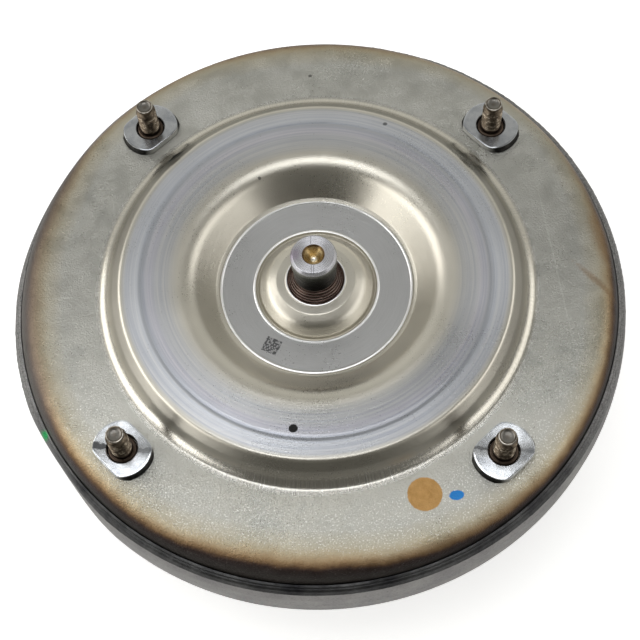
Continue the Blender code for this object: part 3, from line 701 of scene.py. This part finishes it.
# ---------------------------------------------------------------- front cover
PLATEAU = 10.35                                     # height of the cover's raised ring
COVER_LINE = [
    # lip round the nose, and the dome
    (13.9, -1.0, 0.0), (13.9, 2.9, 0.1), (14.2, 3.4, 0.25), (14.8, 3.3, 0.3), (15.3, 3.05, 0.2),
    (19.3, 3.0, 1.6), (24.0, 0.9, 9.0), (28.0, -3.4, 3.0),
    # machined ring between its two cut edges
    (29.1, -5.4, 0.3), (29.7, -5.0, 0.2), (30.1, -3.95, 0.3), (30.8, -3.85, 0.5), (31.4, -4.15, 0.2),
    (46.4, -3.5, 0.2), (47.0, -3.1, 0.4), (47.7, -3.2, 0.3), (48.1, -4.1, 0.2), (49.8, -3.3, 1.0),
    # bowl, then the raised ring with a faint groove
    (62.3, PLATEAU, 13.0), (77.5, PLATEAU, 12.0), (83.6, PLATEAU + 0.05, 3.0),
    (85.2, PLATEAU - 0.07, 2.0), (86.8, PLATEAU + 0.07, 3.0), (95.9, PLATEAU + 0.03, 2.8),
    # step, flat ring and rounded rim
    (100.3, 6.5, 8.0), (105.0, 0.0, 8.5), (113.0, 0.05, 4.0),
    (COVER_R - 0.3, 0.0, 10.6), (COVER_R, COVER_LOW, 0.0),
    # inner side, from the rim back to the nose
    (144.4, COVER_LOW, 0.0), (144.2, -11.0, 0.0), (144.2, -3.7, 6.2), (108.0, -3.7, 0.0),
    (104.6, -2.6, 0.0), (92.6, 6.4, 0.0), (68.0, 6.4, 0.0), (58.5, 2.6, 0.0), (50.2, -6.2, 0.0),
    (47.0, -6.7, 0.0), (29.0, -6.8, 0.0), (23.8, -1.0, 0.0)]


def cover_shape(r, z, a):
    """Slight unevenness of the pressing, and shallow dents in the step beside the studs."""
    step_r, step_half, dent_half = 100.5, 6.0, 9.0
    if r > 60.0 and z > -2.0:
        z += 0.10 * wobble(a, r * 0.02, 1.4) * min(1.0, (r - 60.0) / 20.0)
    for stud, depth in zip(STUD_ANGLES, (0.5, 0.9, 0.5, 0.3)):
        along = angle_between(a, stud) * 100.0           # along the step (mm)
        if z > -1.0:
            z -= depth * bump_at(along, 0.0, dent_half) * bump_at(r, step_r, step_half)
    return r, z


verts, faces = lathe(rounded(COVER_LINE), shape=cover_shape, count=384)
new_object("cover", verts, faces, COVER, "housing", "front_cover")

# ---------------------------------------------------------------- pilot nose
NOSE_LINE = [(0.0, 23.3, 0.0), (1.2, 23.5, 0.2), (2.0, 24.4, 0.3), (5.4, NOSE_TOP - 0.1, 0.15),
             (10.0, NOSE_TOP, 0.3), (11.1, NOSE_TOP - 1.6, 0.5), (11.1, 20.5, 0.3),
             (10.2, 19.4, 0.3), (10.2, 11.0, 0.6)]
for k in range(5):                                   # turned grooves down the flared foot
    r0, z0 = 10.5 + 0.68 * k, FOOT_TOP - FOOT_PITCH * k
    NOSE_LINE += [(r0, z0, 0.12), (r0 + 0.12, z0 - 0.85, 0.12), (r0 + 0.60, z0 - 0.95, 0.12)]
NOSE_LINE += [(13.8, 2.0, 0.1), (13.8, -4.6, 0.0), (0.0, -4.6, 0.0)]
verts, faces = lathe(rounded(NOSE_LINE, 0.8), 128, closed=False)
new_object("nose", verts, faces, NOSE, "housing", "pilot_nose", 28.0)


# ---------------------------------------------------------------- pads and studs
def pad_mesh():
    """Weld pad round the origin: flats face +-X, and its round ends flare towards the cover."""
    half_long, half_flat, hole = 14.2, 11.25, 7.3
    count, squareness = 192, 16
    # measured out from the hole, or in from the edge on top, or out from the edge at the side
    lines = [(hole, 0.3, 0), (hole, PAD_TOP - 0.35, 0), (hole + 0.35, PAD_TOP, 0),
             (hole + 0.8, PAD_TOP, 0), (1.0, PAD_TOP, 1), (0.45, PAD_TOP, 1),
             (0.15, PAD_TOP - 0.1, 1), (0.0, PAD_TOP - 0.35, 1),
             (0.0, PAD_TOP - 0.5, 2), (0.45, 1.4, 2), (1.0, 0.3, 2)]
    verts = []
    for i in range(count):
        a = TAU * i / count
        flat = half_flat / max(1e-6, abs(math.cos(a)))
        edge = (half_long ** -squareness + flat ** -squareness) ** (-1.0 / squareness)
        flare = min(1.0, max(0.0, (flat - half_long) / 9.0))      # full at the round ends
        for value, z, kind in lines:
            r = (value, edge - value, edge + value * flare)[kind]
            verts.append((r * MM * math.cos(a), r * MM * math.sin(a), z * MM))
    size = len(lines)
    rows = [[i * size + k for i in range(count)] for k in range(size)]
    return verts, skin(rows, closed=True)


def thread_depth(phase):
    """Depth of a 60 degree thread below its crest (mm) at a share of a turn."""
    full_depth, crest, flank = 0.90, 0.12, 0.72
    away = abs((phase % 1.0) - 0.5) * 2.0
    return full_depth * min(1.0, max(0.0, (away - crest) / flank))


def stud_mesh(twist):
    """Threaded stud round the origin: collar, thread, neck groove and a dished tip."""
    count, pitch, crest_radius, core_radius = 64, 1.5, 5.0, 4.2
    rows = [(0.0, 0.3), (6.9, 0.3), (6.9, 2.7), (6.6, 3.1), (6.0, 3.3), (5.9, 3.0), (5.3, 3.0),
            (5.0, 3.6), (5.0, 4.5)]
    body_low, body_high = 4.6, STUD_TOP - 2.9
    steps = int((body_high - body_low) / pitch * 9)
    threaded = -1.0                                  # stands for a radius that the thread gives
    rows += [(threaded, body_low + (body_high - body_low) * i / steps) for i in range(steps + 1)]
    rows += [(3.5, STUD_TOP - 2.5), (3.45, STUD_TOP - 1.9), (4.0, STUD_TOP - 1.6), (4.25, STUD_TOP - 1.3),
             (4.25, STUD_TOP - 0.45), (4.05, STUD_TOP - 0.12), (3.7, STUD_TOP), (3.35, STUD_TOP - 0.05),
             (3.0, STUD_TOP - 0.45), (2.0, STUD_TOP - 0.75), (1.0, STUD_TOP - 0.85),
             (0.0, STUD_TOP - 0.88)]
    verts, index = [], []
    for r, z in rows:
        if r == 0.0:
            index.append([len(verts)])
            verts.append((0.0, 0.0, z * MM))
            continue
        line = []
        for i in range(count):
            a = TAU * i / count
            radius = r
            if r == threaded:
                fade = min(1.0, (z - body_low) / 1.2) * min(1.0, (body_high - z) / 0.8 + 0.25)
                radius = crest_radius - thread_depth(z / pitch - a / TAU + twist) * max(0.0, fade)
                radius = min(radius, core_radius + body_high - z)      # runs out at 45 degrees
            line.append(len(verts))
            verts.append((radius * MM * math.cos(a), radius * MM * math.sin(a), z * MM))
        index.append(line)
    return verts, skin(index)


for k in (1, 2, 3, 4):
    middle = box_centre("stud_%d" % k)
    place = (Matrix.Translation((middle.x, middle.y, RING))
             @ Matrix.Rotation(math.atan2(middle.y, middle.x), 4, "Z"))
    verts, faces = pad_mesh()
    new_object("pad_%d" % k, verts, faces, ZINC[k], "housing", "stud_pad_%d" % k, place=place)
    verts, faces = stud_mesh(0.23 * k)
    new_object("threaded_stud_%d" % k, verts, faces, PHOSPHATE, "housing", "stud_%d" % k,
               38.0, place)


# ---------------------------------------------------------------- rim weld and rear shell
def rim_flat(a):
    """1 where the rim is a little flatter than round, at the left."""
    return sum(bump_at(angle_between(a, math.radians(middle)), 0.0, half)
               for middle, half in ((157.0, 0.38), (217.0, 0.26)))


def shell_shape(r, z, a):
    """The shell's widest part, pressed in where the rim is flatter."""
    return r - rim_flat(a) * 2.4 * max(0.0, (r - 149.5) / 5.0), z


def weld_shape(r, z, a):
    """Ripples and lumps of a weld bead laid round the rim, thinner at the back."""
    if r > 149.2 and z > -12.6:
        ripple = 0.5 + 0.5 * math.sin(a * 260.0 + 2.0 * wobble(a, 3.0, 6.0))
        lump = wobble(a, 7.0, 14.0) * 0.5 + wobble(a, 1.0, 40.0) * 0.3
        out = 0.14 * ripple + 0.6 * lump - 0.2
        r, z = r + out * 0.7, z + out * 0.7
    thin = 1.0 - 0.66 * bump_at(angle_between(a, math.radians(125.0)), 0.0, 1.30) - rim_flat(a) * 0.3
    return WELD_ROOT + (r - WELD_ROOT) * max(0.25, thin), z


WELD_LINE = [(WELD_ROOT, -9.0, 0.0), (149.9, -9.0, 0.5), (150.3, -9.7, 0.3), (150.8, -9.6, 0.3),
             (151.7, -10.4, 0.8), (152.0, -11.0, 0.3), (152.9, -12.7, 0.3), (149.0, -12.7, 0.0)]
verts, faces = lathe(rounded(WELD_LINE, 0.5), 1024, shape=weld_shape)
new_object("rim_weld", verts, faces, WELD, "housing", "closing_weld", 60.0)

SHELL_LINE = [
    (152.4, -13.0, 0.4), (153.6, -19.0, 8.0), (SHELL_R - 0.9, -27.0, 10.0), (153.4, -38.0, 20.0),
    (150.0, -52.0, 24.0), (143.0, -65.0, 22.0), (130.0, -74.6, 22.0), (114.0, -79.2, 22.0),
    (102.0, SHELL_LOW, 30.0), (88.0, -78.9, 22.0), (76.0, -75.6, 16.0), (66.0, -71.8, 8.0),
    (56.0, -71.2, 4.0), (45.6, -71.2, 0.3), (45.6, -67.2, 0.3), (69.0, -68.7, 4.0),
    (85.4, -74.3, 6.0), (102.0, -76.0, 6.0), (120.0, -74.0, 6.0), (135.4, -66.8, 6.0),
    (145.2, -54.9, 6.0), (149.6, -40.6, 4.0), (149.0, -25.0, 0.0), (149.0, -13.0, 0.3)]
verts, faces = lathe(rounded(SHELL_LINE, 2.0), shape=shell_shape)
new_object("rear_shell", verts, faces, SHELL, "housing", "impeller_shell")


def hub_weld_shape(r, z, a):
    """Ripples on the bead's outer side, kept inside the CAD bead."""
    if z < -71.7:
        z -= 0.10 * math.sin(a * 90.0) + 0.15 * wobble(a, 5.0, 10.0)
    return r, max(z, -73.4)


verts, faces = lathe(rounded([(42.4, -71.5, 0.2), (48.8, -71.5, 0.2), (48.0, -72.8, 0.8),
                              (45.6, -73.3, 2.0), (43.2, -72.8, 0.8)], 0.4), 512,
                     shape=hub_weld_shape)
new_object("hub_bead", verts, faces, WELD, "housing", "hub_weld", 60.0)

HUB_LINE = [
    (20.0, -62.5, 0.3), (37.0, -62.5, 0.5), (45.2, -66.8, 0.3), (45.2, -71.2, 0.3),
    (40.6, -71.2, 1.0), (31.0, -73.4, 4.0), (25.6, -77.4, 3.0), (HUB_R, -82.0, 3.0),
    (HUB_R, HUB_LOW + 1.0, 0.2), (23.2, HUB_LOW, 0.2), (20.5, HUB_LOW, 0.1),
    (20.0, HUB_LOW + 0.6, 0.1)]
verts, faces = lathe(rounded(HUB_LINE, 2.0), 160)
hub = new_object("drive_hub", verts, faces, HUB, "housing", "impeller_hub", 28.0)


def cut_slots(obj):
    """The two slots that the oil pump drives through."""
    across, width, depth = 60.0 * MM, 11.0 * MM, 10.0 * MM
    mesh = bpy.data.meshes.new("slot_cutter")
    work = bmesh.new()
    bmesh.ops.create_cube(work, size=1.0)
    bmesh.ops.scale(work, verts=work.verts, vec=(across, width, 2.0 * depth))
    edges = [e for e in work.edges if abs(e.verts[0].co.x - e.verts[1].co.x) > 0.01]
    bmesh.ops.bevel(work, geom=edges, offset=1.5 * MM, segments=4, affect="EDGES", profile=0.5)
    bmesh.ops.translate(work, verts=work.verts, vec=(0.0, 0.0, RING + HUB_LOW * MM))
    work.to_mesh(mesh)
    work.free()
    cutter = bpy.data.objects.new("slot_cutter", mesh)
    bpy.context.scene.collection.objects.link(cutter)
    boolean = obj.modifiers.new("slots", "BOOLEAN")
    boolean.object = cutter
    boolean.operation = "DIFFERENCE"
    bpy.context.view_layer.update()
    graph = bpy.context.evaluated_depsgraph_get()
    result = bpy.data.meshes.new_from_object(obj.evaluated_get(graph))
    obj.modifiers.clear()
    obj.data = result
    result.set_sharp_from_angle(angle=math.radians(28.0))
    bpy.data.objects.remove(cutter, do_unlink=True)


cut_slots(hub)

# ---------------------------------------------------------------- carried CAD nodes
CARRIED = {
    "impeller_blades": PRESSED, "turbine_shell": PRESSED, "turbine_blades": PRESSED,
    "driven_plate": PRESSED, "damper_front_plate": PRESSED, "damper_rear_plate": PRESSED,
    "lockup_piston": PRESSED, "turbine_hub": HUB, "piston_seal": SEAL, "friction_lining": FRICTION,
    "stator_wheel": ALLOY, "clutch_outer_race": BEARING, "stator_inner_race": BEARING,
    "stator_front_plate": BEARING, "stator_rear_plate": BEARING, "cover_thrust_race": BEARING,
    "cover_thrust_bearing": BEARING, "turbine_thrust_bearing": BEARING,
    "impeller_thrust_bearing": BEARING}
for name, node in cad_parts.items():
    material = CARRIED.get(name)
    if name.startswith(("damper_spring", "clutch_spring")):
        material = SPRING
    elif name.startswith(("damper_rivet", "hub_rivet")):
        material = HUB
    elif name.startswith("clutch_roller"):
        material = BEARING
    if material is not None:
        for slot in node.material_slots:
            slot.material = material


# ---------------------------------------------------------------- stage, light and camera
def area_light(name, place, target, width, height, power, colour):
    """A rectangular light, aimed at a target."""
    data = bpy.data.lights.new(name, "AREA")
    data.shape = "RECTANGLE"
    data.size, data.size_y = width, height
    data.energy = power
    data.color = colour
    obj = bpy.data.objects.new(name, data)
    obj.location = place
    obj.rotation_euler = (Vector(target) - Vector(place)).to_track_quat("-Z", "Y").to_euler()
    bpy.context.scene.collection.objects.link(obj)


def pale_floor():
    """Plain pale floor, lifted towards white for the eye so that only soft shadow shows on it."""
    half = 6.0
    mesh = bpy.data.meshes.new("floor")
    mesh.from_pydata([(-half, -half, 0.0), (half, -half, 0.0), (half, half, 0.0), (-half, half, 0.0)],
                     [], [(0, 1, 2, 3)])
    obj = bpy.data.objects.new("floor", mesh)
    bpy.context.scene.collection.objects.link(obj)
    pale = bpy.data.materials.new("pale_floor")
    pale.use_nodes = True
    tree = pale.node_tree
    shader = tree.nodes["Principled BSDF"]
    shader.inputs["Base Color"].default_value = (0.92, 0.92, 0.92, 1.0)
    shader.inputs["Roughness"].default_value = 0.9
    shader.inputs["Specular IOR Level"].default_value = 0.1
    shader.inputs["Emission Color"].default_value = (1.0, 1.0, 1.0, 1.0)
    rays = tree.nodes.new("ShaderNodeLightPath")
    lift = tree.nodes.new("ShaderNodeMath")
    lift.operation = "MULTIPLY"
    lift.inputs[1].default_value = 0.55
    tree.links.new(rays.outputs["Is Camera Ray"], lift.inputs[0])
    tree.links.new(lift.outputs[0], shader.inputs["Emission Strength"])
    mesh.materials.append(pale)


pale_floor()


def studio_world():
    """Dim grey room, white to the eye: lighter behind and below the part, darker in front of it.

    Each lobe has an aim, a full and a last angle (degrees), and a colour that is added.
    """
    world = bpy.data.worlds.new("studio")
    world.use_nodes = True
    tree = world.node_tree
    tree.nodes.clear()
    make, join = tree.nodes.new, tree.links.new
    place = make("ShaderNodeTexCoord")
    base = make("ShaderNodeRGB")
    base.outputs[0].default_value = (0.29, 0.287, 0.272, 1.0)
    tone = base.outputs[0]
    for aim, inner, outer, colour in (
            ((0.0, -0.75, 0.66), 8.0, 62.0, (-0.15, -0.15, -0.15)),
            ((0.0, 0.95, 0.30), 10.0, 60.0, (0.27, 0.27, 0.25)),
            ((-0.50, 0.80, 0.38), 5.0, 42.0, (0.26, 0.26, 0.25)),
            ((0.50, 0.80, 0.38), 5.0, 42.0, (0.20, 0.20, 0.19)),
            ((0.9, 0.30, 0.45), 10.0, 55.0, (-0.06, -0.06, -0.06)),
            ((0.0, 0.0, -1.0), 70.0, 100.0, (0.30, 0.30, 0.30))):
        dot = make("ShaderNodeVectorMath")
        dot.operation = "DOT_PRODUCT"
        join(place.outputs["Generated"], dot.inputs[0])
        dot.inputs[1].default_value = Vector(aim).normalized()
        lobe = make("ShaderNodeMapRange")
        lobe.interpolation_type = "SMOOTHSTEP"
        join(dot.outputs["Value"], lobe.inputs["Value"])
        lobe.inputs["From Min"].default_value = math.cos(math.radians(outer))
        lobe.inputs["From Max"].default_value = math.cos(math.radians(inner))
        scaled = make("ShaderNodeVectorMath")
        scaled.operation = "SCALE"
        scaled.inputs[0].default_value = colour
        join(lobe.outputs[0], scaled.inputs["Scale"])
        total = make("ShaderNodeVectorMath")
        total.operation = "ADD"
        join(scaled.outputs[0], total.inputs[0])
        join(tone, total.inputs[1])
        tone = total.outputs[0]
    room, backdrop = make("ShaderNodeBackground"), make("ShaderNodeBackground")
    join(tone, room.inputs["Color"])
    backdrop.inputs["Color"].default_value = (1.0, 1.0, 1.0, 1.0)
    rays, choice = make("ShaderNodeLightPath"), make("ShaderNodeMixShader")
    join(rays.outputs["Is Camera Ray"], choice.inputs[0])
    join(room.outputs[0], choice.inputs[1])
    join(backdrop.outputs[0], choice.inputs[2])
    out = make("ShaderNodeOutputWorld")
    join(choice.outputs[0], out.inputs["Surface"])
    bpy.context.scene.world = world


studio_world()
HEART = (0.0, 0.0, RING)
COOL, WARM = (0.97, 0.985, 1.0), (1.0, 0.99, 0.96)
area_light("overhead", (-0.12, 0.0, 1.45), (-0.12, 0.0, RING), 0.90, 0.60, 4.5, COOL)
area_light("side_left", (-1.05, -0.12, 0.70), HEART, 1.60, 0.75, 8.6, WARM)
area_light("side_right", (1.05, -0.06, 0.74), HEART, 1.50, 0.66, 4.6, WARM)


def aim_camera():
    """Camera over the front, fitted to the photograph's circles and stud tips."""
    tilt, azimuth, roll = math.radians(25.085), math.radians(7.29), math.radians(-6.578)
    distance, aside, above = 0.64303, -0.0024107, -0.0190948     # of the eye from the heart
    back = Vector((math.sin(tilt) * math.sin(azimuth), -math.sin(tilt) * math.cos(azimuth),
                   math.cos(tilt)))
    level = Vector((math.cos(azimuth), math.sin(azimuth), 0.0))
    up = back.cross(level)
    right = level * math.cos(roll) + up * math.sin(roll)
    upward = up * math.cos(roll) - level * math.sin(roll)
    eye = Vector(HEART) + back * distance + right * aside + upward * above
    data = bpy.data.cameras.new("camera")
    data.sensor_width, data.lens = 36.0, 73.38375
    data.shift_x, data.shift_y = 0.0139, 0.0007
    data.clip_start = 0.05
    camera = bpy.data.objects.new("camera", data)
    camera.matrix_world = Matrix((
        (right.x, upward.x, back.x, eye.x), (right.y, upward.y, back.y, eye.y),
        (right.z, upward.z, back.z, eye.z), (0.0, 0.0, 0.0, 1.0)))
    bpy.context.scene.collection.objects.link(camera)
    bpy.context.scene.camera = camera


aim_camera()
bpy.context.scene.view_settings.view_transform = "Standard"
